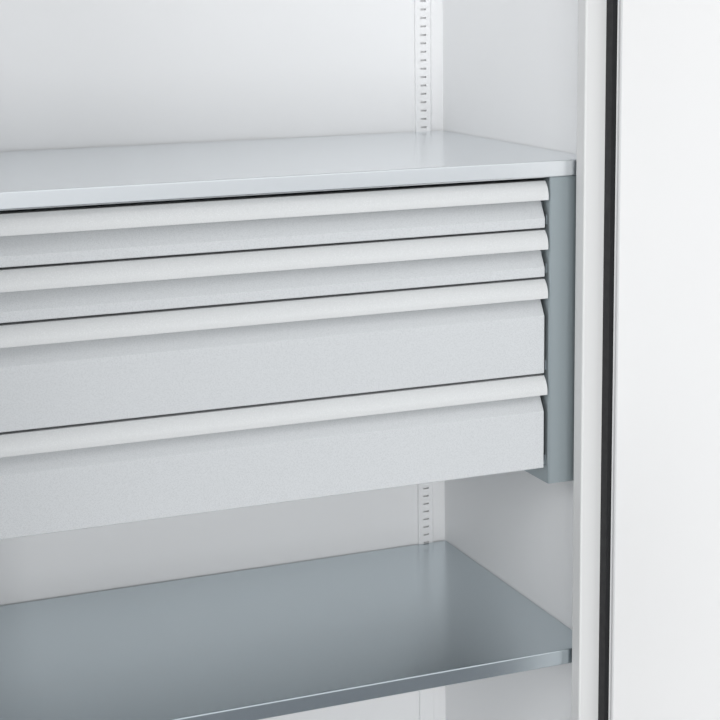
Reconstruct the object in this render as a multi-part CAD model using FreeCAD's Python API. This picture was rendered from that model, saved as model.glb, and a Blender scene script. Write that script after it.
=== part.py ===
import FreeCAD, Part
import math
import os

# Heavy-duty drawer cabinet: a two-door steel cupboard with four drawers hung under a galvanised shelf.
# Millimetres. X runs to the right, Y to the back and Z up, from the floor under the cabinet's middle.
# Both doors are modelled standing open. Right-hand pieces are built first and mirrored to the left.

# Overall size with the doors shut
width = 1050.0
depth = 650.0
height = 2000.0

# Carcass
base_height = 120.0
edge_height = 20.0
cap_sheet = 1.5
cap_radius = 3.0
cap_overhang = 3.0
plinth_inset_front = 45.0
plinth_inset = 12.0
plinth_sheet = 2.0
plinth_foot = 30.0
brace_width = 60.0
brace_height = 25.0
side_wall = 14.0
side_sheet = 1.2
back_depth = 19.4
back_sheet = 1.2
rail_sheet = 1.5
rail_radius = 1.0
head_rail_height = 40.0
sill_rail_height = 30.0

# Front stiles, seals and slotted pilasters
stile_recess = 18.5
stile_depth = 27.0
stile_width = 42.0
stile_sheet = 1.5
stile_radius = 3.0
seal_width = 8.0
seal_sheet = 1.6
pilaster_offset = 41.0
pilaster_width = 30.0
pilaster_depth = 6.0
pilaster_sheet = 1.5
pilaster_radius = 0.5
slot_width = 11.0
slot_height = 3.2
slot_pitch = 15.0
slot_first = 300.0
slot_end_margin = 180.0
stile_slot_pitch = 90.0

# Shelves
upper_shelf_level = 1290.0
upper_shelf_drop = 7.5
lower_shelf_level = 510.0
lower_shelf_drop = 1.85
shelf_setback = 4.1
shelf_edge = 25.0
shelf_sheet = 1.5
shelf_lip = 14.0
shelf_radius = 1.0
shelf_end_gap = 1.5
corner_relief = 1.0
seat_gap = 0.3
clip_gap = 0.1
clip_width = 9.5
clip_reach = 11.0
clip_sheet = 2.5
clip_height = 16.0
hook_reach = 1.5
hook_sheet = 1.5
hook_drop = 4.0

# Drawer block
frame_width = 79.6
frame_setback = 10.0
frame_sheet = 2.0
frame_radius = 1.5
frame_flange = 45.0
frame_drop = 23.6
frame_wall_gap = 1.0
frame_top_gap = 0.8
grid_gap = 3.2
drawer_unit = 75.0
drawer_units = (1, 1, 2, 2)

# Drawers
drawer_setback = 18.0
front_end_gap = 4.2
front_sheet = 1.2
front_bend = 60.0
front_recess = 15.0
front_radius = 1.0
strip_gap = 3.0
strip_height = 28.3
strip_proud = 11.3
strip_sheet = 2.0
tray_sheet = 1.0
tray_lift = 4.0
tray_head_room = 16.0
tray_rim = 8.0
tray_rear_gap = 18.0

# Telescopic runners
runner_height = 32.0
runner_lift = 5.0
runner_width = 17.5
runner_sheet = 1.5
runner_flange = 6.5
runner_play = 0.3
runner_tab = 15.0
runner_start = 18.0

# Doors
door_thickness = 20.0
door_gap = 1.0
door_sheet = 1.2
door_lip = 18.0
door_radius = 3.0
door_end_gap = 3.0
door_meeting_gap = 2.0
door_open = 110.0
pivot_inset = 6.0
pivot_reach = 9.0
pivot_radius = 5.0
pivot_length = 14.0
pivot_play = 0.05
pivot_block = 26.0
bush_size = 13.0
bush_length = 16.0
stiffener_width = 60.0
stiffener_flange = 15.0
stiffener_sheet = 1.0
stiffener_end_gap = 60.0
meeting_strip_width = 34.0
meeting_strip_reach = 12.0
meeting_strip_sheet = 2.0
meeting_play = 0.5

# Turn handle, gear and locking rods
handle_height = 1050.0
handle_inset = 60.0
gear_module = 1.6
gear_teeth = 12
gear_backlash = 0.5
gear_addendum = 0.8
gear_dedendum = 1.2
gear_width = 6.0
pressure_angle = math.radians(20)
rod_width = 8.0
rod_thickness = 5.0
rod_tip_gap = 2.0
rod_play = 0.4
rack_teeth = 9
guide_length = 12.0
guide_wall = 2.0
guide_near = 110.0
guide_far = 120.0
plate_width = 34.0
plate_length = 150.0
plate_thickness = 4.0
plate_drop = 0.75
plate_radius = 10.0
lever_length = 112.0
lever_root = 15.0
lever_tip = 9.0
lever_thickness = 13.0
lever_chamfer = 2.6
spindle_width = 7.0
spindle_hole = 5.3
spindle_reach = 5.0
cylinder_radius = 8.0
cylinder_depth = 8.0
cylinder_proud = 1.5
cylinder_play = 0.05
key_slot_length = 9.0
key_slot_width = 2.0
key_slot_depth = 3.0

# How far a cutting shape runs past what it cuts
over = 1.0


def nearest_slot(level):
    """The height of the slot that is nearest to a level."""
    return slot_first + round((level - slot_first) / slot_pitch) * slot_pitch


# Places worked out from the sizes
half = width / 2
body_half = half - cap_overhang
wall_x = body_half - side_wall
door_face = -depth / 2
door_back = door_face + door_thickness
front_plane = door_back + door_gap
stile_face = front_plane + stile_recess
stile_rear = stile_face + stile_depth
rear_plane = depth / 2
back_face = rear_plane - back_depth
pilaster_face = back_face - pilaster_depth
pilaster_x = wall_x - pilaster_offset
stile_x = wall_x - stile_width / 2
ceiling_z = height - edge_height
upper_shelf_top = nearest_slot(upper_shelf_level) - upper_shelf_drop
lower_shelf_top = nearest_slot(lower_shelf_level) - lower_shelf_drop
shelf_front = stile_rear + shelf_setback
shelf_back = pilaster_face - seat_gap
shelf_half = wall_x - shelf_end_gap
frame_x = wall_x - frame_width
frame_front = stile_rear + frame_setback
frame_back = pilaster_face - seat_gap
frame_top = upper_shelf_top - shelf_edge
grid_top = frame_top - grid_gap
block_height = drawer_unit * sum(drawer_units)
frame_bottom = grid_top - block_height - frame_drop
drawer_face = stile_rear + drawer_setback
front_half = frame_x - front_end_gap
tray_half = frame_x - runner_width
tray_front = drawer_face + front_recess + front_sheet
tray_back = pilaster_face - tray_rear_gap
runner_front = drawer_face + runner_start
runner_back = tray_back
pivot_x = body_half - pivot_inset
pivot_y = door_back - pivot_reach
door_bottom = base_height + door_end_gap
door_top = ceiling_z - door_end_gap
door_edge = door_meeting_gap / 2
inner_edge = pivot_x - door_sheet
cavity_front = door_face + door_sheet
cavity_back = door_back - 2 * door_sheet
handle_x = door_edge + handle_inset
plate_front = door_face - plate_thickness
lever_back = plate_front - seat_gap
lever_front = lever_back - lever_thickness
gear_radius = gear_module * gear_teeth / 2
gear_tip = gear_radius + gear_module * gear_addendum
gear_root = gear_radius - gear_module * gear_dedendum
gear_base = gear_radius * math.cos(pressure_angle)
rod_inner = gear_radius + gear_module * gear_dedendum
rod_middle = (cavity_front + cavity_back) / 2
rod_front = rod_middle - rod_thickness / 2
rod_rear = rod_middle + rod_thickness / 2
upper_rod_x = handle_x + rod_inner + rod_width / 2
lower_rod_x = handle_x - rod_inner - rod_width / 2


# Shaping helpers

def block(x, y, z):
    corner = FreeCAD.Vector(x[0], y[0], z[0])
    return Part.makeBox(x[1] - x[0], y[1] - y[0], z[1] - z[0], corner)


def centred(middle, size):
    return middle - size / 2, middle + size / 2


def wider(span):
    return span[0] - over, span[1] + over


def pan(x, y, z, sheet, open_bottom=True):
    """A shallow sheet box that is open below or above."""
    inner_z = (z[0] - over, z[1] - sheet) if open_bottom else (z[0] + sheet, z[1] + over)
    inside = block((x[0] + sheet, x[1] - sheet), (y[0] + sheet, y[1] - sheet), inner_z)
    return block(x, y, z).cut(inside)


def disc(radius, start, length, direction):
    return Part.makeCylinder(radius, length, FreeCAD.Vector(*start), FreeCAD.Vector(*direction))


def unit_step(a, b):
    length = math.hypot(b[0] - a[0], b[1] - a[1])
    return (b[0] - a[0]) / length, (b[1] - a[1]) / length


def arc(place, centre, radius, start, end):
    """Three points of the arc about a centre between two angles in degrees, set in space by place(a, b)."""
    points = []
    for angle in (start, (start + end) / 2, end):
        turn = math.radians(angle)
        points.append(place(centre[0] + radius * math.cos(turn), centre[1] + radius * math.sin(turn)))
    return points


def outlined(pieces):
    """A flat face round its pieces in turn, each one a corner point or the three points of an arc."""
    edges = []
    last = pieces[-1][-1]
    for piece in pieces:
        if (piece[0] - last).Length > 1e-6:
            edges.append(Part.makeLine(last, piece[0]))
        if len(piece) == 3:
            edges.append(Part.Arc(*piece).toShape())
        last = piece[-1]
    return Part.Face(Part.Wire(edges))


def rounded_face(points, place):
    """A face inside the corners (a, b, radius), drawn by place(a, b), each corner rounded by an arc."""
    pieces = []
    count = len(points)
    for i, (a, b, radius) in enumerate(points):
        before = unit_step((a, b), points[i - 1])
        after = unit_step((a, b), points[(i + 1) % count])
        cosine = before[0] * after[0] + before[1] * after[1]
        if radius > 0 and abs(cosine) < 0.9999:
            angle = math.acos(cosine)
            reach = radius / math.tan(angle / 2)
            inward = unit_step((0, 0), (before[0] + after[0], before[1] + after[1]))
            depth_in = radius / math.sin(angle / 2) - radius
            pieces.append([place(a + before[0] * reach, b + before[1] * reach),
                           place(a + inward[0] * depth_in, b + inward[1] * depth_in),
                           place(a + after[0] * reach, b + after[1] * reach)])
        else:
            pieces.append([place(a, b)])
    return outlined(pieces)


def with_radius(points, radius=0.0):
    return [(a, b, radius) for a, b in points]


def along_x(points, x):
    face = rounded_face(points, lambda a, b: FreeCAD.Vector(x[0], a, b))
    return face.extrude(FreeCAD.Vector(x[1] - x[0], 0, 0))


def along_y(points, y):
    face = rounded_face(points, lambda a, b: FreeCAD.Vector(a, y[0], b))
    return face.extrude(FreeCAD.Vector(0, y[1] - y[0], 0))


def along_z(points, z):
    face = rounded_face(points, lambda a, b: FreeCAD.Vector(a, b, z[0]))
    return face.extrude(FreeCAD.Vector(0, 0, z[1] - z[0]))


def folded(path, sheet, radius=None):
    """The outline of a sheet that follows the path, with its thickness on the left and bent corners."""
    bends = radius is not None
    near = []
    far = []
    steps = [unit_step(path[i], path[i + 1]) for i in range(len(path) - 1)]
    for i, (a, b) in enumerate(path):
        ahead = steps[min(i, len(steps) - 1)]
        behind = steps[max(i - 1, 0)]
        turn = behind[0] * ahead[1] - behind[1] * ahead[0]
        scale = sheet / (1 + behind[0] * ahead[0] + behind[1] * ahead[1])
        shift_a = -(behind[1] + ahead[1]) * scale
        shift_b = (behind[0] + ahead[0]) * scale
        inner = radius if bends and abs(turn) > 1e-6 else 0.0
        outer = radius + sheet if bends and abs(turn) > 1e-6 else 0.0
        near.append((a, b, outer if turn > 0 else inner))
        far.append((a + shift_a, b + shift_b, inner if turn > 0 else outer))
    return near + far[::-1]


def mirrored(shape):
    return shape.mirror(FreeCAD.Vector(0, 0, 0), FreeCAD.Vector(1, 0, 0))


def opened(shape):
    """Turns a right-hand door piece from the shut door to the open one."""
    turned = shape.copy()
    turned.rotate(FreeCAD.Vector(pivot_x, pivot_y, 0), FreeCAD.Vector(0, 0, 1), door_open)
    return turned


def joined(shapes):
    whole = shapes[0].fuse(shapes[1:]) if len(shapes) > 1 else shapes[0]
    return whole.removeSplitter()


def save(name, *shapes):
    whole = shapes[0] if len(shapes) == 1 else Part.makeCompound(list(shapes))
    whole.exportStep(os.path.join("parts", name + ".step"))


def save_pair(name, shape):
    save(name + "_right", shape)
    save(name + "_left", mirrored(shape))


# Carcass

def slot_heights(pitch):
    count = int((ceiling_z - slot_end_margin - slot_first) / pitch) + 1
    return [slot_first + i * pitch for i in range(count)]


def slot_below(z):
    """The height of the highest slot that lies wholly under z in the stiles and the pilasters alike."""
    return max(level for level in slot_heights(stile_slot_pitch) if level + slot_height / 2 < z)


def slots(x, y, pitch):
    rows = [block(centred(x, slot_width), y, centred(z, slot_height)) for z in slot_heights(pitch)]
    return Part.makeCompound(rows)


def round_long_edges(shape, radius, z):
    """Rounds the outer edges of a cap that run round its flat face at height z."""
    edges = []
    for edge in shape.Edges:
        box = edge.BoundBox
        level = abs(box.ZMin - z) < 1e-6 and abs(box.ZMax - z) < 1e-6
        if level and max(box.XLength, box.YLength) > depth / 2:
            edges.append(edge)
    return shape.makeFillet(radius, edges)


def make_top_cap():
    outer = block((-half, half), (door_face, rear_plane), (ceiling_z, height))
    outer = round_long_edges(outer, cap_radius, height)
    inner_x = half - cap_sheet
    inside = block((-inner_x, inner_x), (door_face + cap_sheet, rear_plane - cap_sheet),
                   (ceiling_z - over, height - cap_sheet))
    inside = round_long_edges(inside, cap_radius - cap_sheet, height - cap_sheet)
    return outer.cut(inside)


def bush_holes(z):
    return [block(centred(side * pivot_x, bush_size), centred(pivot_y, bush_size), z) for side in (-1, 1)]


def rod_hole(x, z):
    return block(centred(x, rod_width + 2 * rod_play), (rod_front - rod_play, rod_rear + rod_play), z)


def make_ceiling():
    inner_x = half - cap_sheet
    z = (ceiling_z, ceiling_z + cap_sheet)
    sheet = block((-inner_x, inner_x), (door_face + cap_sheet, rear_plane - cap_sheet), z)
    return sheet.cut(bush_holes(wider(z)) + [rod_hole(upper_rod_x, wider(z))])


def make_base_panel():
    base = pan((-half, half), (door_face, rear_plane), (base_height - edge_height, base_height), cap_sheet)
    z = (base_height - cap_sheet - over, base_height + over)
    return base.cut(bush_holes(z) + [rod_hole(lower_rod_x, z)])


def make_plinth():
    """A folded plinth with a foot flange all round and a channel across its middle."""
    x = half - plinth_inset
    y = (door_face + plinth_inset_front, rear_plane - plinth_inset)
    top = base_height - cap_sheet
    ring = pan((-x, x), y, (0, top), plinth_sheet, open_bottom=False)
    window_x = x - plinth_foot
    window = block((-window_x, window_x), (y[0] + plinth_foot, y[1] - plinth_foot), wider((0, plinth_sheet)))
    reach = brace_width / 2
    path = [(-reach, brace_height), (-reach, 0), (reach, 0), (reach, brace_height)]
    face = rounded_face(folded(path, plinth_sheet), lambda a, b: FreeCAD.Vector(a, y[0] + plinth_sheet, b))
    brace = face.extrude(FreeCAD.Vector(0, y[1] - y[0] - 2 * plinth_sheet, 0))
    return joined([ring.cut(window), brace])


def make_side_panel():
    t = side_sheet
    z = (base_height, ceiling_z)
    shell = block((wall_x, body_half), (front_plane, rear_plane), z)
    return shell.cut(block((wall_x + t, body_half - t), (front_plane + t, rear_plane - t), wider(z)))


def make_back_panel():
    sheet = back_sheet
    shell = block((-wall_x, wall_x), (back_face, rear_plane), (base_height, ceiling_z))
    hollow = block((sheet - wall_x, wall_x - sheet), (back_face + sheet, rear_plane + over),
                   (base_height + sheet, ceiling_z - sheet))
    return shell.cut(hollow)


def make_stile():
    x = (wall_x - stile_width, wall_x)
    y = (stile_face, stile_rear)
    z = (base_height, ceiling_z)
    t = stile_sheet
    outer = [(x[0], y[0], stile_radius), (x[1], y[0], 0), (x[1], y[1], 0), (x[0], y[1], stile_radius)]
    bend = stile_radius - t
    inner = [(x[0] + t, y[0] + t, bend), (x[1] - t, y[0] + t, 0), (x[1] - t, y[1] - t, 0),
             (x[0] + t, y[1] - t, bend)]
    tube = along_z(outer, z).cut(along_z(inner, wider(z)))
    return tube.cut(slots(stile_x, wider((y[1] - t, y[1])), stile_slot_pitch))


def make_pilaster():
    x = centred(pilaster_x, pilaster_width)
    path = [(x[0], back_face), (x[0], pilaster_face), (x[1], pilaster_face), (x[1], back_face)]
    channel = along_z(folded(path, pilaster_sheet, pilaster_radius), (base_height, ceiling_z))
    return channel.cut(slots(pilaster_x, wider((pilaster_face, pilaster_face + pilaster_sheet)), slot_pitch))


def make_seal():
    x = (wall_x - seal_width, wall_x)
    z = (base_height, ceiling_z)
    t = seal_sheet
    tube = block(x, (front_plane, stile_face), z)
    return tube.cut(block((x[0] + t, x[1] - t), (front_plane + t, stile_face - t), wider(z)))


def make_rail(shut, away):
    """A folded rail between the stiles, shut at one height and open towards the other."""
    end = wall_x - stile_width
    path = [(stile_face, away), (stile_face, shut), (stile_rear, shut), (stile_rear, away)]
    if away < shut:
        path.reverse()
    return along_x(folded(path, rail_sheet, rail_radius), (-end, end))


# Shelves

def make_shelf(top):
    low = top - shelf_edge
    path = [(shelf_back - shelf_lip, low), (shelf_back, low), (shelf_back, top),
            (shelf_front, top), (shelf_front, low), (shelf_front + shelf_lip, low)]
    sheet = along_x(folded(path, shelf_sheet, shelf_radius), (-shelf_half, shelf_half))
    lip = shelf_lip + corner_relief
    ends = []
    for side in (-1, 1):
        x = sorted((side * shelf_half, side * (shelf_half - shelf_sheet)))
        ends.append(block(x, (shelf_front + lip, shelf_back - lip), (low, top - shelf_sheet)))
    return joined([sheet] + ends)


def make_clip(x, wall_y, sheet, facing, ledge):
    """A clip that hooks into the slot under the ledge of a slotted sheet, with its tongue under the shelf."""
    level = slot_below(ledge)
    span = centred(x, clip_width)
    seat = wall_y + facing * clip_gap
    behind = wall_y - facing * (sheet + seat_gap)
    hook_end = behind - facing * hook_sheet
    hook_z = (level - slot_height / 2 + seat_gap, level + slot_height / 2 - seat_gap)
    tongue = block(span, sorted((seat, seat + facing * clip_reach)), (ledge - clip_sheet, ledge))
    plate = block(span, sorted((seat, seat + facing * clip_sheet)), (ledge - clip_height, ledge))
    hook = block(span, sorted((hook_end, seat)), hook_z)
    catch = block(span, sorted((hook_end, behind)), (hook_z[0] - hook_drop, hook_z[1]))
    return joined([tongue, plate, hook, catch])


# Drawer block

def make_drawer_frame():
    """A side frame of the block: a channel with plates at its ends and hooks in the slotted uprights."""
    gap = wall_x - frame_wall_gap
    z = (frame_bottom, frame_top)
    t = frame_sheet
    flange_x = frame_x + frame_flange
    path = [(flange_x, frame_back), (frame_x, frame_back), (frame_x, frame_front), (gap, frame_front)]
    pieces = [along_z(folded(path, t, frame_radius), (z[0], z[1] - frame_top_gap))]
    for low in (z[0], z[1] - t):
        pieces.append(block((frame_x + t, flange_x), (frame_front + t, frame_back - t), (low, low + t)))
    pilaster_hook = (frame_back - t, pilaster_face + pilaster_sheet + hook_reach)
    stile_hook = (stile_rear - stile_sheet - hook_reach, frame_front + t)
    for level in (slot_below(frame_top - stile_slot_pitch / 3), slot_below(frame_bottom + stile_slot_pitch)):
        hook_z = centred(level, slot_height - 2 * seat_gap)
        pieces.append(block(centred(pilaster_x, clip_width), pilaster_hook, hook_z))
        pieces.append(block(centred(stile_x, clip_width), stile_hook, hook_z))
    return joined(pieces)


def runner_channel(web, lip, z, y):
    """A C-shaped runner whose web stands at one X and whose flanges point to the other."""
    path = [(lip, z[0]), (web, z[0]), (web, z[1]), (lip, z[1])]
    if lip > web:
        path.reverse()
    return along_y(folded(path, runner_sheet), y)


def runner_heights(low):
    return low + runner_lift, low + runner_lift + runner_height


def make_fixed_runner(low):
    z = runner_heights(low)
    channel = runner_channel(frame_x, frame_x - runner_sheet - runner_flange, z, (runner_front, runner_back))
    tab = block((frame_x - runner_sheet, frame_x), (drawer_face + 2 * front_sheet, runner_front),
                (z[0], z[0] + runner_tab))
    return joined([channel, tab])


def make_drawer_runner(low):
    lip = tray_half + runner_sheet + runner_flange
    return runner_channel(tray_half, lip, runner_heights(low), (runner_front, runner_back))


def make_middle_runner(low):
    """An I-shaped runner that rides inside the fixed runner and the drawer's runner."""
    t = runner_sheet
    gap = t + runner_play
    x = (tray_half + gap, frame_x - gap)
    z = (runner_heights(low)[0] + gap, runner_heights(low)[1] - gap)
    y = (runner_front, runner_back)
    web = block(centred((x[0] + x[1]) / 2, t), y, (z[0] + t, z[1] - t))
    return joined([web, block(x, y, (z[0], z[0] + t)), block(x, y, (z[1] - t, z[1]))])


def make_strip(grid):
    """The handle strip: a curled section that bulges forwards and leaves a grip behind it."""
    t = strip_sheet
    top = grid - strip_gap
    lip = top - strip_height + t / 2
    bulge = strip_proud * 0.75

    def place(forward, z):
        return FreeCAD.Vector(-front_half, drawer_face - forward, z)

    rear = drawer_face - tray_front
    outer = [place(0, top), place(bulge, top - strip_height * 0.36), place(strip_proud, lip)]
    bead = arc(place, (strip_proud - t / 2, lip), t / 2, 0, -180)
    inner = [place(strip_proud - t, lip), place(bulge - t * 0.9, top - strip_height * 0.42),
             place(-t * 0.6, top - t)]
    section = outlined([outer, bead, inner, [place(rear, top - t)], [place(rear, top)]])
    return section.extrude(FreeCAD.Vector(2 * front_half, 0, 0))


def make_front(grid, tall):
    """The front sheet, upright below and sloping back above to make room for fingers."""
    low = grid - tall
    back = drawer_face + front_recess
    slope_top = grid - strip_gap - strip_height - 2 * front_sheet
    path = [(back, grid - strip_gap - strip_sheet), (back, slope_top), (drawer_face, grid - front_bend),
            (drawer_face, low), (back + front_sheet, low)]
    return along_x(folded(path, front_sheet, front_radius), (-front_half, front_half))


def make_tray(low, tall):
    t = tray_sheet
    x = tray_half
    y = (tray_front, tray_back)
    z = (low + tray_lift, low + tall - tray_head_room)
    rim_x = x - t - tray_rim
    rim_z = (z[1] - t, z[1])
    rims = [block((-rim_x, rim_x), (y[1] - t - tray_rim, y[1] - t), rim_z)]
    for side in (-1, 1):
        rims.append(block(sorted((side * (x - t), side * rim_x)), (y[0] + t, y[1] - t), rim_z))
    return joined([pan((-x, x), y, z, t, open_bottom=False)] + rims)


# Doors, built shut at the right-hand side

def door_solid(inset, z):
    """The door's body, its surfaces moved in by the inset and its hinge edge rounded about the pin."""
    radius = pivot_reach - inset
    edge = body_half - inset
    face = door_face + inset
    free = door_edge + inset
    bend = door_radius - inset
    rear = door_back - 2 * inset

    def place(x, y):
        return FreeCAD.Vector(x, y, z[0])

    side_angle = math.degrees(math.acos((edge - pivot_x) / radius))
    plan = outlined([
        arc(place, (pivot_x, pivot_y), radius, 90, side_angle),
        arc(place, (edge - bend, face + bend), bend, 0, -90),
        arc(place, (free + bend, face + bend), bend, -90, -180),
        [place(free, rear)],
        [place(pivot_x, rear)]])
    return plan.extrude(FreeCAD.Vector(0, 0, z[1] - z[0]))


def make_door_skin():
    """The skin that both doors have: a pan with lips under the inner sheet and a hole for each pivot pin."""
    z = (door_bottom, door_top)
    t = door_sheet
    window = block((door_edge + door_lip, pivot_x - door_lip), (cavity_back - over, door_back + over),
                   (z[0] + door_lip, z[1] - door_lip))
    seat = block((door_edge - over, inner_edge), (door_back - t, door_back + over), wider(z))
    skin = door_solid(0.0, z).cut(seat).cut([door_solid(t, (z[0] + t, z[1] - t)), window])
    ends = (z[0] - over, z[1] - t - over)
    return skin.cut([disc(pivot_radius, (pivot_x, pivot_y, end), t + 2 * over, (0, 0, 1)) for end in ends])


def cut_for_lock(skin):
    """The right door's skin has holes for the handle's spindle and for both rods."""
    t = door_sheet
    start = (handle_x, door_face - over, handle_height)
    hole = disc(spindle_hole, start, t + 2 * over, (0, 1, 0))
    return skin.cut([hole, rod_hole(upper_rod_x, (door_top - t - over, door_top + over)),
                     rod_hole(lower_rod_x, (door_bottom - over, door_bottom + t + over))])


def make_door_inner():
    return block((door_edge, inner_edge), (door_back - door_sheet, door_back), (door_bottom, door_top))


def make_stiffener():
    """A hat-section stiffener up the middle of the door, between its two skins."""
    middle = (door_edge + pivot_x) / 2
    reach = stiffener_width / 2
    flange = reach + stiffener_flange
    crown = door_back - door_sheet - stiffener_sheet
    path = [(middle - flange, cavity_front), (middle - reach, cavity_front), (middle - reach, crown),
            (middle + reach, crown), (middle + reach, cavity_front), (middle + flange, cavity_front)]
    z = (door_bottom + stiffener_end_gap, door_top - stiffener_end_gap)
    return along_z(folded(path, stiffener_sheet), z)


def make_pivot(top):
    """A pivot pin with its block, which is welded into the corner of the door."""
    t = door_sheet
    end = door_top if top else door_bottom
    away = -1 if top else 1
    inner = end + away * t
    y = (cavity_front, pivot_y + pivot_radius + pivot_play)
    z = sorted((inner, inner + away * pivot_block))
    body = block((pivot_x - pivot_block, body_half - door_radius), y, z)
    start = min(inner, end - away * pivot_length)
    pin = disc(pivot_radius, (pivot_x, pivot_y, start), t + pivot_length, (0, 0, 1))
    return joined([body, pin])


def make_bush(side, top):
    """A square bush pressed into the ceiling or the base, flush with the sheet that faces the door."""
    span = (ceiling_z, ceiling_z + bush_length) if top else (base_height - bush_length, base_height)
    body = block(centred(side * pivot_x, bush_size), centred(pivot_y, bush_size), span)
    start = (side * pivot_x, pivot_y, span[0] - over)
    return body.cut(disc(pivot_radius + pivot_play, start, bush_length + 2 * over, (0, 0, 1)))


def make_meeting_strip():
    """A stepped strip on the left door's free edge, which shuts the gap and laps behind the right door."""
    left = meeting_strip_reach - meeting_strip_width
    lap = door_back + meeting_play
    path = [(left, door_back), (-door_edge, door_back), (-door_edge, lap), (meeting_strip_reach, lap)]
    return along_z(folded(path, meeting_strip_sheet), (door_bottom + 2 * door_lip, door_top - 2 * door_lip))


# Handle, gear and rods, on the shut right-hand door

def tooth_half_angle(radius):
    """Half the angle of a pinion tooth at a radius, on an involute."""
    local = math.acos(min(gear_base / radius, 1.0))
    spread = (math.tan(pressure_angle) - pressure_angle) - (math.tan(local) - local)
    return math.pi / (2 * gear_teeth) - gear_backlash / (4 * gear_radius) + spread


def make_spindle(y):
    """The square bar that the lever turns."""
    return block(centred(handle_x, spindle_width), y, centred(handle_height, spindle_width))


def make_pinion():
    """The pinion on the lever's spindle."""
    flank = [(gear_root, tooth_half_angle(gear_base)), (gear_radius, tooth_half_angle(gear_radius)),
             (gear_tip, tooth_half_angle(gear_tip))]
    outline = []
    for i in range(gear_teeth):
        middle = 2 * math.pi * i / gear_teeth
        turns = [(radius, middle - angle) for radius, angle in flank]
        turns += [(radius, middle + angle) for radius, angle in reversed(flank)]
        outline += [(handle_x + r * math.cos(a), handle_height + r * math.sin(a)) for r, a in turns]
    wheel = along_y(with_radius(outline), centred(rod_middle, gear_width))
    return joined([wheel, make_spindle((plate_front - spindle_reach, rod_middle + gear_width))])


def make_rod(side):
    """A locking rod with a rack beside the pinion: side 1 runs up and side -1 runs down."""
    pitch = math.pi * gear_module
    x = handle_x + side * rod_inner
    outer = x + side * rod_width
    tip = handle_x + side * (gear_radius - gear_module * gear_addendum)
    slope = math.tan(pressure_angle) * gear_module
    half_root = pitch / 4 - gear_backlash / 4 + slope * gear_dedendum
    half_tip = pitch / 4 - gear_backlash / 4 - slope * gear_addendum
    # The upper rod's rack starts a tooth lower, so that each rack stays beside the pinion as its rod runs out
    shift = -1 if side > 0 else 0
    points = []
    for i in range(rack_teeth):
        middle = handle_height + (i + 1 - rack_teeth / 2 + shift) * pitch
        points += [(x, middle - half_root), (tip, middle - half_tip)]
        points += [(tip, middle + half_tip), (x, middle + half_root)]
    if side > 0:
        low = points[0][1] - pitch
        end = door_top - rod_tip_gap
        outline = [(x, low)] + points + [(x, end), (outer, end), (outer, low)]
    else:
        high = points[-1][1] + pitch
        end = door_bottom + rod_tip_gap
        outline = [(x, end)] + points + [(x, high), (outer, high), (outer, end)]
    return along_y(with_radius(outline), (rod_front, rod_rear))


def make_guide(x, z):
    """A bracket on the inside of the door's face that a rod slides through."""
    span = centred(z, guide_length)
    size = rod_width + 2 * (rod_play + guide_wall)
    body = block(centred(x, size), (cavity_front, rod_rear + rod_play + guide_wall), span)
    return body.cut(rod_hole(x, wider(span)))


def make_guides():
    places = [(upper_rod_x, handle_height + guide_near), (upper_rod_x, door_top - guide_far),
              (lower_rod_x, handle_height - guide_near), (lower_rod_x, door_bottom + guide_far)]
    return [make_guide(x, z) for x, z in places]


def make_handle_plate():
    x = centred(handle_x, plate_width)
    low = handle_height - plate_length * plate_drop
    corners = [(x[0], low), (x[1], low), (x[1], low + plate_length), (x[0], low + plate_length)]
    plate = along_y(with_radius(corners, plate_radius), (plate_front, door_face))
    hole = disc(spindle_hole, (handle_x, plate_front - over, handle_height),
                plate_thickness + 2 * over, (0, 1, 0))
    return plate.cut(hole)


def make_lever():
    """The lever hangs down from its boss, which carries the lock's cylinder."""
    drop = lever_length - lever_tip
    lean = math.degrees(math.asin((lever_root - lever_tip) / drop))

    def place(x, z):
        return FreeCAD.Vector(handle_x + x, lever_front, handle_height + z)

    outline = outlined([arc(place, (0, 0), lever_root, -lean, 180 + lean),
                        arc(place, (0, -drop), lever_tip, 180 + lean, 360 - lean)])
    body = outline.extrude(FreeCAD.Vector(0, lever_thickness, 0))
    rim = [edge for edge in body.Edges if abs(edge.BoundBox.YMax - lever_front) < 1e-6]
    body = body.makeChamfer(lever_chamfer, rim)
    spindle = make_spindle((plate_front - spindle_reach, plate_front))
    seat = disc(cylinder_radius + cylinder_play, (handle_x, lever_front - over, handle_height),
                cylinder_depth + over, (0, 1, 0))
    return body.cut([spindle, seat])


def make_cylinder():
    plug = disc(cylinder_radius, (handle_x, lever_front - cylinder_proud, handle_height),
                cylinder_depth + cylinder_proud - cylinder_play, (0, 1, 0))
    slot = block(centred(handle_x, key_slot_width), centred(lever_front, 2 * key_slot_depth),
                 centred(handle_height, key_slot_length))
    return plug.cut(slot)


# The whole cabinet

def build_carcass():
    save("plinth", make_plinth())
    save("base_panel", make_base_panel())
    save("top_cap", make_top_cap())
    save("ceiling_panel", make_ceiling())
    save("back_panel", make_back_panel())
    save_pair("side_panel", make_side_panel())
    save_pair("stile", make_stile())
    save_pair("pilaster", make_pilaster())
    save_pair("door_seal", make_seal())
    save("head_rail", make_rail(ceiling_z - head_rail_height, ceiling_z))
    save("sill_rail", make_rail(base_height + sill_rail_height, base_height))
    save("upper_shelf", make_shelf(upper_shelf_top))
    save("lower_shelf", make_shelf(lower_shelf_top))
    ledge = lower_shelf_top - shelf_edge
    clips = []
    for side in (-1, 1):
        clips.append(make_clip(side * pilaster_x, pilaster_face, pilaster_sheet, -1, ledge))
        clips.append(make_clip(side * stile_x, stile_rear, stile_sheet, 1, ledge))
    save("shelf_clips", *clips)
    save("pivot_bushes", *[make_bush(side, top) for side in (-1, 1) for top in (False, True)])


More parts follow.
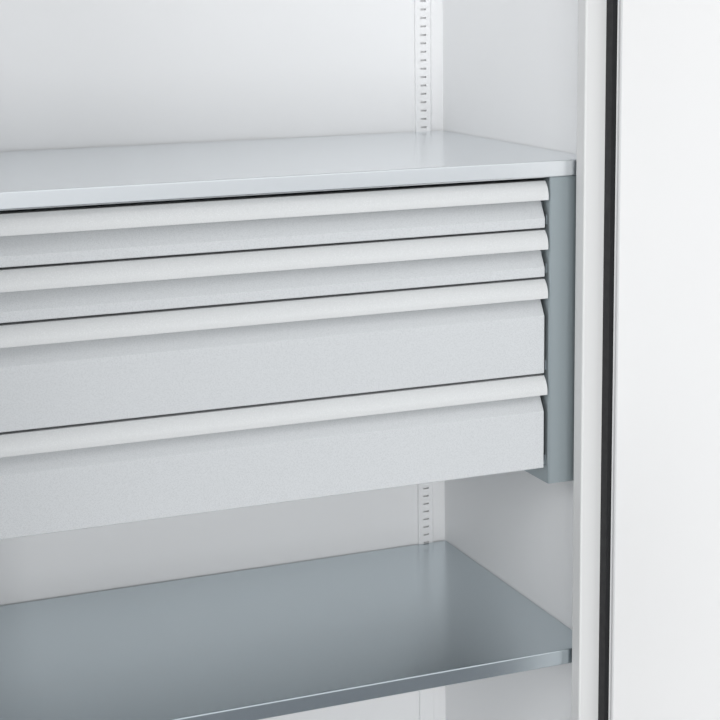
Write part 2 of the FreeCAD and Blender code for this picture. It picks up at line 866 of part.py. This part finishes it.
def build_drawers():
    save_pair("drawer_frame", make_drawer_frame())
    fixed = []
    grid = grid_top
    for number, units in enumerate(drawer_units, 1):
        tall = units * drawer_unit
        low = grid - tall
        name = "drawer_%d" % number
        runner = make_fixed_runner(low)
        fixed += [runner, mirrored(runner)]
        runner = make_middle_runner(low)
        save(name + "_middle_runners", runner, mirrored(runner))
        runner = make_drawer_runner(low)
        save(name + "_runners", runner, mirrored(runner))
        save(name + "_tray", make_tray(low, tall))
        save(name + "_front", make_front(grid, tall))
        save(name + "_strip", make_strip(grid))
        grid = low
    save("fixed_runners", *fixed)


def build_doors():
    skin = make_door_skin()
    save("right_door_skin", opened(cut_for_lock(skin)))
    save("left_door_skin", mirrored(opened(skin)))
    inner = opened(make_door_inner())
    save("right_door_inner", inner)
    save("left_door_inner", mirrored(inner))
    stiffener = opened(make_stiffener())
    save("right_door_stiffener", stiffener)
    save("left_door_stiffener", mirrored(stiffener))
    pivots = [opened(make_pivot(top)) for top in (False, True)]
    save("right_door_pivots", *pivots)
    save("left_door_pivots", *[mirrored(pivot) for pivot in pivots])
    save("meeting_strip", mirrored(opened(mirrored(make_meeting_strip()))))
    save("rod_guides", *[opened(guide) for guide in make_guides()])
    save("handle_plate", opened(make_handle_plate()))
    save("handle_lever", opened(make_lever()))
    save("lock_pinion", opened(make_pinion()))
    save("lock_cylinder", opened(make_cylinder()))
    save("upper_rod", opened(make_rod(1)))
    save("lower_rod", opened(make_rod(-1)))


os.makedirs("parts", exist_ok=True)
build_carcass()
build_drawers()
build_doors()
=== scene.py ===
import math

import bpy
from mathutils import Matrix, Vector


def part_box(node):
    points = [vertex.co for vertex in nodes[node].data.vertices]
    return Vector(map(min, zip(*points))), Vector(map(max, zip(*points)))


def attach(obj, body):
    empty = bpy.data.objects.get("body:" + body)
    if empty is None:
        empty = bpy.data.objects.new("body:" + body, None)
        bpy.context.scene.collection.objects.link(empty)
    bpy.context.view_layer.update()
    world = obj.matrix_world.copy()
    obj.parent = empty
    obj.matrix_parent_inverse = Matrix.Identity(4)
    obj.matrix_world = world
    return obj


# A steel cupboard with a hung drawer block, dressed in powder coat, galvanised sheet and rubber.
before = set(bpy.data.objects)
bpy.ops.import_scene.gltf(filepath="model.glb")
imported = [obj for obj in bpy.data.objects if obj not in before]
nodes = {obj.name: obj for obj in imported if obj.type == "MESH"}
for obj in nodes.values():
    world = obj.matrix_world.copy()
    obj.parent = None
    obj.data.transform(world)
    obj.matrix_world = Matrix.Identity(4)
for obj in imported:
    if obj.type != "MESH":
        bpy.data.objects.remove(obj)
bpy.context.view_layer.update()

# The studio: a pale floor, a pale world and two soft lamps, one high on the left and one in front.
# The camera looks down into the cupboard's right-hand half, as the photograph does.
# Mirror rays see a darker floor and no lamps, so that the zinc mirrors an even studio.
floor_size = 14.0
floor_colour = (0.86, 0.86, 0.86)
floor_mirrored = (0.30, 0.31, 0.33)
world_colour = (0.93, 0.95, 0.97)
world_light = 0.42
world_seen = 1.0
floor_roughness = 0.7
lamp_size = 2.5
lamps = {
    "left_lamp": {"place": (-3.6, -4.0, 3.0), "aim": (0.4, 0.0, 1.0), "watts": 120.0},
    "front_lamp": {"place": (-0.9, -5.5, 1.3), "aim": (0.0, 0.0, 1.0), "watts": 132.0},
}
camera_place = (-0.767, -2.455, 1.545)
camera_yaw = math.radians(21.89)
camera_pitch = math.radians(9.56)
camera_roll = math.radians(-0.72)
camera_lens = 83.65
camera_shift = -0.13
sensor_width = 36.0


def add_object(name, data):
    piece = bpy.data.objects.new(name, data)
    bpy.context.scene.collection.objects.link(piece)
    return piece


def add_floor():
    mesh = bpy.data.meshes.new("studio_floor")
    reach = floor_size / 2
    corners = [(-reach, -reach, 0.0), (reach, -reach, 0.0), (reach, reach, 0.0), (-reach, reach, 0.0)]
    mesh.from_pydata(corners, [], [(0, 1, 2, 3)])
    material = bpy.data.materials.new("studio_floor")
    material.use_nodes = True
    tree = material.node_tree
    shader = tree.nodes["Principled BSDF"]
    path = tree.nodes.new("ShaderNodeLightPath")
    mix = tree.nodes.new("ShaderNodeMix")
    mix.data_type = "RGBA"
    mix.inputs["A"].default_value = (*floor_colour, 1.0)
    mix.inputs["B"].default_value = (*floor_mirrored, 1.0)
    tree.links.new(path.outputs["Is Glossy Ray"], mix.inputs["Factor"])
    tree.links.new(mix.outputs["Result"], shader.inputs["Base Color"])
    shader.inputs["Roughness"].default_value = floor_roughness
    mesh.materials.append(material)
    add_object("studio_floor", mesh)


def add_world():
    """An even pale light, which the camera and the metal see as nearly white."""
    world = bpy.data.worlds.new("studio")
    world.use_nodes = True
    tree = world.node_tree
    background = tree.nodes["Background"]
    background.inputs["Color"].default_value = (*world_colour, 1.0)
    background.inputs["Strength"].default_value = world_light
    seen = tree.nodes.new("ShaderNodeBackground")
    seen.inputs["Color"].default_value = (*world_colour, 1.0)
    seen.inputs["Strength"].default_value = world_seen
    path = tree.nodes.new("ShaderNodeLightPath")
    mix = tree.nodes.new("ShaderNodeMixShader")
    shown = path.outputs["Is Camera Ray"]
    for ray in ("Is Glossy Ray", "Is Transmission Ray"):
        either = tree.nodes.new("ShaderNodeMath")
        either.operation = "MAXIMUM"
        tree.links.new(shown, either.inputs[0])
        tree.links.new(path.outputs[ray], either.inputs[1])
        shown = either.outputs["Value"]
    tree.links.new(shown, mix.inputs["Fac"])
    tree.links.new(background.outputs["Background"], mix.inputs[1])
    tree.links.new(seen.outputs["Background"], mix.inputs[2])
    tree.links.new(mix.outputs["Shader"], tree.nodes["World Output"].inputs["Surface"])
    bpy.context.scene.world = world


def add_lamps():
    for name, lamp in lamps.items():
        light = bpy.data.lights.new(name, "AREA")
        light.shape = "SQUARE"
        light.size = lamp_size
        light.energy = lamp["watts"]
        piece = add_object(name, light)
        piece.visible_glossy = False
        piece.location = lamp["place"]
        aim = Vector(lamp["aim"]) - Vector(lamp["place"])
        piece.rotation_euler = aim.to_track_quat("-Z", "Y").to_euler()


def add_camera():
    camera = bpy.data.cameras.new("camera")
    camera.lens = camera_lens
    camera.sensor_width = sensor_width
    camera.shift_y = camera_shift
    piece = add_object("camera", camera)
    turn = Matrix.Rotation(-camera_yaw, 4, "Z") @ Matrix.Rotation(math.pi / 2 - camera_pitch, 4, "X")
    piece.matrix_world = Matrix.Translation(camera_place) @ turn @ Matrix.Rotation(camera_roll, 4, "Z")
    bpy.context.scene.camera = piece


add_camera()
add_world()
add_lamps()
add_floor()
bpy.context.scene.view_settings.view_transform = "Standard"

# The carcass: base, side and back panels, ceiling and slotted uprights, and the front's stiles and rails,
# the plinth and the top cap. All are folded sheet steel, spot welded and powder coated with a fine grain.
# The front's members, the plinth and the cap get a darker copy of the carcass paint: painted shade that
# keeps their lamp-facing fronts from turning flat white.
carcass_colour = (0.865, 0.872, 0.88)
shaded_front_colour = (0.655, 0.66, 0.66)
paint_roughness = 0.42
paint_gloss = 0.35
paint_drift = 0.012
gloss_drift = 0.04
cloud_scale = 3.0
carcass_nodes = ["base_panel", "ceiling_panel", "back_panel", "side_panel_left", "side_panel_right",
                 "pilaster_left", "pilaster_right"]
front_nodes = ["stile_left", "stile_right", "head_rail", "sill_rail", "plinth", "top_cap"]
grain_size = 0.0011
grain_depth = 0.00003


def new_group(name, inputs, outputs):
    group = bpy.data.node_groups.new(name, "ShaderNodeTree")
    for label, kind, value in inputs:
        socket = group.interface.new_socket(label, in_out="INPUT", socket_type=kind)
        socket.default_value = value
    for label, kind in outputs:
        group.interface.new_socket(label, in_out="OUTPUT", socket_type=kind)
    return group, group.nodes.new("NodeGroupInput"), group.nodes.new("NodeGroupOutput")


def add_node(tree, kind, **values):
    node = tree.nodes.new(kind)
    for label, value in values.items():
        node.inputs[label.replace("_", " ")].default_value = value
    return node


def make_powder_grain():
    """The fine orange-peel grain of powder coat: a cloudy tone, a speckle and its bump."""
    group, given, result = new_group(
        "powder_grain",
        [("Grain", "NodeSocketFloat", 900.0), ("Depth", "NodeSocketFloat", grain_depth)],
        [("Tone", "NodeSocketFloat"), ("Speckle", "NodeSocketFloat"), ("Normal", "NodeSocketVector")])
    place = group.nodes.new("ShaderNodeTexCoord")
    cloud = add_node(group, "ShaderNodeTexNoise", Scale=cloud_scale, Detail=2.0, Roughness=0.5)
    fine = add_node(group, "ShaderNodeTexNoise", Detail=2.0, Roughness=0.6)
    bump = add_node(group, "ShaderNodeBump", Strength=0.5)
    group.links.new(place.outputs["Object"], cloud.inputs["Vector"])
    group.links.new(place.outputs["Object"], fine.inputs["Vector"])
    group.links.new(given.outputs["Grain"], fine.inputs["Scale"])
    group.links.new(given.outputs["Depth"], bump.inputs["Distance"])
    group.links.new(fine.outputs["Fac"], bump.inputs["Height"])
    group.links.new(cloud.outputs["Fac"], result.inputs["Tone"])
    group.links.new(fine.outputs["Fac"], result.inputs["Speckle"])
    group.links.new(bump.outputs["Normal"], result.inputs["Normal"])
    return group


powder_grain = make_powder_grain()


def mix_colours(tree, factor, dark, light):
    """A colour between two others, by a factor that changes over the surface."""
    mix = tree.nodes.new("ShaderNodeMix")
    mix.data_type = "RGBA"
    mix.inputs["A"].default_value = (*dark, 1.0)
    mix.inputs["B"].default_value = (*light, 1.0)
    tree.links.new(factor, mix.inputs["Factor"])
    return mix.outputs["Result"]


def map_range(tree, value, low, high):
    """The value's middle range from 0.3 to 0.7, stretched to low and high."""
    node = add_node(tree, "ShaderNodeMapRange", From_Min=0.3, From_Max=0.7, To_Min=low, To_Max=high)
    tree.links.new(value, node.inputs["Value"])
    return node.outputs["Result"]


def powder_coat(name, colour, roughness=paint_roughness, gloss=paint_gloss, depth=grain_depth):
    """A powder-coated finish whose tone and gloss drift a little over the sheet."""
    material = bpy.data.materials.new(name)
    material.use_nodes = True
    tree = material.node_tree
    shader = tree.nodes["Principled BSDF"]
    grain = tree.nodes.new("ShaderNodeGroup")
    grain.node_tree = powder_grain
    grain.inputs["Grain"].default_value = 1 / grain_size
    grain.inputs["Depth"].default_value = depth
    dark = tuple(c * (1 - paint_drift) for c in colour)
    light = tuple(min(c * (1 + paint_drift), 1.0) for c in colour)
    tree.links.new(mix_colours(tree, grain.outputs["Tone"], dark, light), shader.inputs["Base Color"])
    patchy = map_range(tree, grain.outputs["Speckle"], roughness - gloss_drift, roughness + gloss_drift)
    tree.links.new(patchy, shader.inputs["Roughness"])
    tree.links.new(grain.outputs["Normal"], shader.inputs["Normal"])
    shader.inputs["Specular IOR Level"].default_value = gloss
    return material


def paint_nodes(names, material):
    for name in names:
        for slot in nodes[name].material_slots:
            slot.material = material


carcass_paint = powder_coat("carcass_paint", carcass_colour)
paint_nodes(carcass_nodes, carcass_paint)
# The stiles, rails, plinth and cap take the darker copy of the carcass paint, which is painted shade.
paint_nodes(front_nodes, powder_coat("shaded_front_paint", shaded_front_colour))

# The door seals: one black profile along each stile's front edge, which the shut door presses on.
# They are extruded from soft hollow rubber and pushed onto the edge. Lighter, duller random patches on them
# are a painted sheen.
seal_colour = (0.012, 0.012, 0.013)
painted_sheen_tone = 1.35
painted_sheen_scale = 60.0
rubber_roughness = (0.6, 0.75)


def rubber(name, colour):
    """A dull black rubber or moulding, with a painted sheen in lighter, duller random patches."""
    material = bpy.data.materials.new(name)
    material.use_nodes = True
    tree = material.node_tree
    shader = tree.nodes["Principled BSDF"]
    place = tree.nodes.new("ShaderNodeTexCoord")
    sheen_noise = add_node(tree, "ShaderNodeTexNoise", Scale=painted_sheen_scale, Detail=4.0, Roughness=0.6)
    tree.links.new(place.outputs["Object"], sheen_noise.inputs["Vector"])
    # The noise lightens the black in random patches, which is a painted sheen.
    light = tuple(c * painted_sheen_tone for c in colour)
    tree.links.new(mix_colours(tree, sheen_noise.outputs["Fac"], colour, light), shader.inputs["Base Color"])
    tree.links.new(map_range(tree, sheen_noise.outputs["Fac"], *rubber_roughness), shader.inputs["Roughness"])
    return material


paint_nodes(["door_seal_left", "door_seal_right"], rubber("seal_rubber", seal_colour))

# The shelves and their clips: folded galvanised sheet. The upper one rests on the drawer block and the
# lower one on clips that hook into the slots of the uprights and the stiles. The sheet is rolled, so it
# has a faint streak along the cabinet's width and blurs what it mirrors.
zinc_dark = (0.79, 0.825, 0.85)
zinc_light = (0.85, 0.875, 0.89)
# The lower shelf gets a darker copy of the same zinc, which is painted shade for the dim lower compartment.
lower_shaded_dark = (0.56, 0.63, 0.67)
lower_shaded_light = (0.62, 0.68, 0.71)
along_width = (0.06, 1.0, 1.0)
along_height = (1.0, 1.0, 0.06)
streak_scale = 40.0
spangle_scale = 90.0
spangle_share = 0.25
bloom_depth = 0.00002
zinc_roughness = 0.22


def make_zinc_bloom():
    """Rolled zinc: long faint streaks along the rolling and a soft spangle."""
    group, given, result = new_group(
        "zinc_bloom",
        [("Rolling", "NodeSocketVector", along_width), ("Streak", "NodeSocketFloat", streak_scale),
         ("Spangle", "NodeSocketFloat", spangle_scale)],
        [("Tone", "NodeSocketFloat"), ("Cloud", "NodeSocketFloat"), ("Normal", "NodeSocketVector")])
    place = group.nodes.new("ShaderNodeTexCoord")
    stretch = group.nodes.new("ShaderNodeMapping")
    streak = add_node(group, "ShaderNodeTexNoise", Detail=5.0, Roughness=0.65)
    spangle = group.nodes.new("ShaderNodeTexVoronoi")
    blend = group.nodes.new("ShaderNodeMix")
    blend.inputs["Factor"].default_value = spangle_share
    bump = add_node(group, "ShaderNodeBump", Strength=0.05, Distance=bloom_depth)
    group.links.new(place.outputs["Object"], stretch.inputs["Vector"])
    group.links.new(given.outputs["Rolling"], stretch.inputs["Scale"])
    group.links.new(stretch.outputs["Vector"], streak.inputs["Vector"])
    group.links.new(place.outputs["Object"], spangle.inputs["Vector"])
    group.links.new(given.outputs["Streak"], streak.inputs["Scale"])
    group.links.new(given.outputs["Spangle"], spangle.inputs["Scale"])
    group.links.new(streak.outputs["Fac"], blend.inputs["A"])
    group.links.new(spangle.outputs["Distance"], blend.inputs["B"])
    group.links.new(blend.outputs["Result"], bump.inputs["Height"])
    group.links.new(blend.outputs["Result"], result.inputs["Tone"])
    group.links.new(streak.outputs["Fac"], result.inputs["Cloud"])
    group.links.new(bump.outputs["Normal"], result.inputs["Normal"])
    return group


zinc_bloom = make_zinc_bloom()


def galvanised(name, dark, light, roughness=zinc_roughness, metallic=1.0, rolling=along_width):
    """Bare or zinc-coated metal between a dark and a light tone, streaked along its rolling."""
    material = bpy.data.materials.new(name)
    material.use_nodes = True
    tree = material.node_tree
    shader = tree.nodes["Principled BSDF"]
    bloom = tree.nodes.new("ShaderNodeGroup")
    bloom.node_tree = zinc_bloom
    bloom.inputs["Rolling"].default_value = rolling
    colour = mix_colours(tree, bloom.outputs["Tone"], dark, light)
    tree.links.new(colour, shader.inputs["Base Color"])
    tree.links.new(map_range(tree, bloom.outputs["Cloud"], roughness - 0.02, roughness + 0.03),
                   shader.inputs["Roughness"])
    tree.links.new(bloom.outputs["Normal"], shader.inputs["Normal"])
    shader.inputs["Metallic"].default_value = metallic
    return material


paint_nodes(["upper_shelf", "shelf_clips"], galvanised("shelf_zinc", zinc_dark, zinc_light))
# The lower shelf's darker zinc is painted shade.
paint_nodes(["lower_shelf"], galvanised("lower_shaded_zinc", lower_shaded_dark, lower_shaded_light))

# The drawer block's side frames: channels folded from a darker, duller galvanised sheet, rolled upright.
# They hang by hooks in the slots of the uprights and the stiles, and carry the drawers' fixed runners.
frame_dark = (0.33, 0.38, 0.40)
frame_light = (0.35, 0.40, 0.42)
frame_roughness = 0.3
frame_metallic = 0.6
frame_zinc = galvanised("frame_zinc", frame_dark, frame_light, frame_roughness, frame_metallic, along_height)
paint_nodes(["drawer_frame_left", "drawer_frame_right"], frame_zinc)

# The drawers: folded zinc trays on zinc runners, smooth powder-coated fronts and extruded handle strips.
# Each front is riveted to its tray, with the rivets' heads inside the tray's front wall.
drawer_names = ["drawer_%d" % number for number in range(1, 5)]
tray_dark = (0.60, 0.64, 0.66)
tray_light = (0.68, 0.71, 0.73)
tray_roughness = 0.3
front_colour = (0.545, 0.565, 0.58)
front_roughness = 0.28
strip_colour = (0.598, 0.612, 0.618)
strip_roughness = 0.26
smooth_gloss = 1.0
smooth_depth = grain_depth / 6
tray_zinc = galvanised("tray_zinc", tray_dark, tray_light, tray_roughness)
front_paint = powder_coat("front_paint", front_colour, front_roughness, smooth_gloss, smooth_depth)
strip_paint = powder_coat("strip_paint", strip_colour, strip_roughness, smooth_gloss, smooth_depth)
for name in drawer_names:
    paint_nodes([name + "_tray", name + "_runners", name + "_middle_runners"], tray_zinc)
    paint_nodes([name + "_front"], front_paint)
    paint_nodes([name + "_strip"], strip_paint)
paint_nodes(["fixed_runners"], tray_zinc)
rivet_radius = 0.0032
rivet_height = 0.0014
rivet_rise = 0.022
rivet_columns = (-0.36, -0.12, 0.12, 0.36)
tray_wall = 0.001
rivet_dark = (0.52, 0.54, 0.56)
rivet_light = (0.60, 0.62, 0.64)
head_sides = 20
crown_share = 0.62
rivet_steel = galvanised("rivet_steel", rivet_dark, rivet_light, tray_roughness)


def make_head_tree():
    """Low tapered heads, one on each point, all turned along one facing."""
    tree = bpy.data.node_groups.new("round_heads", "GeometryNodeTree")
    tree.interface.new_socket("Places", in_out="INPUT", socket_type="NodeSocketGeometry")
    for label in ("Radius", "Height"):
        tree.interface.new_socket(label, in_out="INPUT", socket_type="NodeSocketFloat")
    tree.interface.new_socket("Facing", in_out="INPUT", socket_type="NodeSocketVector")
    tree.interface.new_socket("Material", in_out="INPUT", socket_type="NodeSocketMaterial")
    tree.interface.new_socket("Heads", in_out="OUTPUT", socket_type="NodeSocketGeometry")
    given = tree.nodes.new("NodeGroupInput")
    result = tree.nodes.new("NodeGroupOutput")
    crown = tree.nodes.new("ShaderNodeMath")
    crown.operation = "MULTIPLY"
    crown.inputs[1].default_value = crown_share
    head = tree.nodes.new("GeometryNodeMeshCone")
    head.inputs["Vertices"].default_value = head_sides
    turn = tree.nodes.new("FunctionNodeAlignRotationToVector")
    turn.axis = "Z"
    spread = tree.nodes.new("GeometryNodeInstanceOnPoints")
    real = tree.nodes.new("GeometryNodeRealizeInstances")
    finish = tree.nodes.new("GeometryNodeSetMaterial")
    tree.links.new(given.outputs["Radius"], crown.inputs[0])
    tree.links.new(crown.outputs["Value"], head.inputs["Radius Top"])
    tree.links.new(given.outputs["Radius"], head.inputs["Radius Bottom"])
    tree.links.new(given.outputs["Height"], head.inputs["Depth"])
    tree.links.new(given.outputs["Facing"], turn.inputs["Vector"])
    tree.links.new(given.outputs["Places"], spread.inputs["Points"])
    tree.links.new(head.outputs["Mesh"], spread.inputs["Instance"])
    tree.links.new(turn.outputs["Rotation"], spread.inputs["Rotation"])
    tree.links.new(spread.outputs["Instances"], real.inputs["Geometry"])
    tree.links.new(real.outputs["Geometry"], finish.inputs["Geometry"])
    tree.links.new(given.outputs["Material"], finish.inputs["Material"])
    tree.links.new(finish.outputs["Geometry"], result.inputs["Heads"])
    return tree


head_tree = make_head_tree()


def add_heads(name, places, facing, radius, height, material, body):
    """A plain mesh of heads at the places, made by the node tree, which moves with its body."""
    points = bpy.data.meshes.new(name + "_places")
    points.from_pydata(places, [], [])
    source = add_object(name + "_places", points)
    modifier = source.modifiers.new("heads", "NODES")
    modifier.node_group = head_tree
    sizes = {"Radius": radius, "Height": height, "Facing": facing, "Material": material}
    for item in head_tree.interface.items_tree:
        if item.name in sizes:
            modifier[item.identifier] = sizes[item.name]
    bpy.context.view_layer.update()
    seen = source.evaluated_get(bpy.context.evaluated_depsgraph_get())
    mesh = bpy.data.meshes.new_from_object(seen)
    mesh.name = name
    source.modifiers.clear()
    bpy.data.objects.remove(source)
    piece = add_object(name, mesh)
    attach(piece, body)


for name in drawer_names:
    low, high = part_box(name + "_tray")
    wall = low[1] + tray_wall
    places = [(x, wall + rivet_height / 2, low[2] + rivet_rise) for x in rivet_columns]
    add_heads(name + "_rivets", places, (0.0, 1.0, 0.0), rivet_radius, rivet_height, rivet_steel, name)

# The back panel's welds: its flanges are spot welded to the side panels, in a row up each side.
# Each weld leaves a round flat mark, which is painted over with the carcass.
weld_radius = 0.003
weld_height = 0.0003
weld_pitch = 0.12
weld_count = 15
flange_sheet = 0.0012


def add_welds():
    low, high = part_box("back_panel")
    depth_in = (low[1] + high[1]) / 2
    for side, label in ((-1, "left"), (1, "right")):
        x = side * (high[0] - flange_sheet - weld_height / 2)
        places = [(x, depth_in, low[2] + weld_pitch * (i + 0.5)) for i in range(weld_count)]
        add_heads("back_welds_" + label, places, (-side, 0.0, 0.0), weld_radius, weld_height,
                  carcass_paint, "carcass")


add_welds()

# The doors: an outer skin and an inner sheet each, with a stiffener between them, folded from sheet steel.
# They are powder coated and swing on pins in brass bushes. The outer skins and the meeting strip get a
# darker copy of the door paint, which is painted shade that keeps the lamp-facing skins from turning flat
# white. The pins, and the locking rods, guides, pinion and cylinder in the right door, are zinc-plated
# steel.
door_colour = (0.842, 0.842, 0.842)
# The skins' paint is a darker copy of the door paint, which is painted shade.
skin_shaded_colour = (0.69, 0.695, 0.70)
pin_dark = (0.50, 0.50, 0.50)
pin_light = (0.62, 0.62, 0.62)
pin_roughness = 0.28
bush_dark = (0.55, 0.40, 0.16)
bush_light = (0.68, 0.52, 0.24)
bush_roughness = 0.3
door_paint = powder_coat("door_paint", door_colour)
paint_nodes(["left_door_inner", "left_door_stiffener", "right_door_inner", "right_door_stiffener"],
            door_paint)
skin_shaded_paint = powder_coat("skin_shaded_paint", skin_shaded_colour)
paint_nodes(["left_door_skin", "right_door_skin", "meeting_strip"], skin_shaded_paint)
pin_steel = galvanised("pin_steel", pin_dark, pin_light, pin_roughness)
paint_nodes(["left_door_pivots", "right_door_pivots", "rod_guides", "upper_rod", "lower_rod", "lock_pinion",
             "lock_cylinder"], pin_steel)
paint_nodes(["pivot_bushes"], galvanised("bush_brass", bush_dark, bush_light, bush_roughness))

# The turn handle: a dull black moulded lever on a plate of the same moulding.
# The plate sits on the right door's outer skin, and the lever turns the lock's spindle.
handle_colour = (0.025, 0.025, 0.027)
# The handle's moulding carries the same painted sheen in lighter random patches.
paint_nodes(["handle_plate", "handle_lever"], rubber("handle_black", handle_colour))
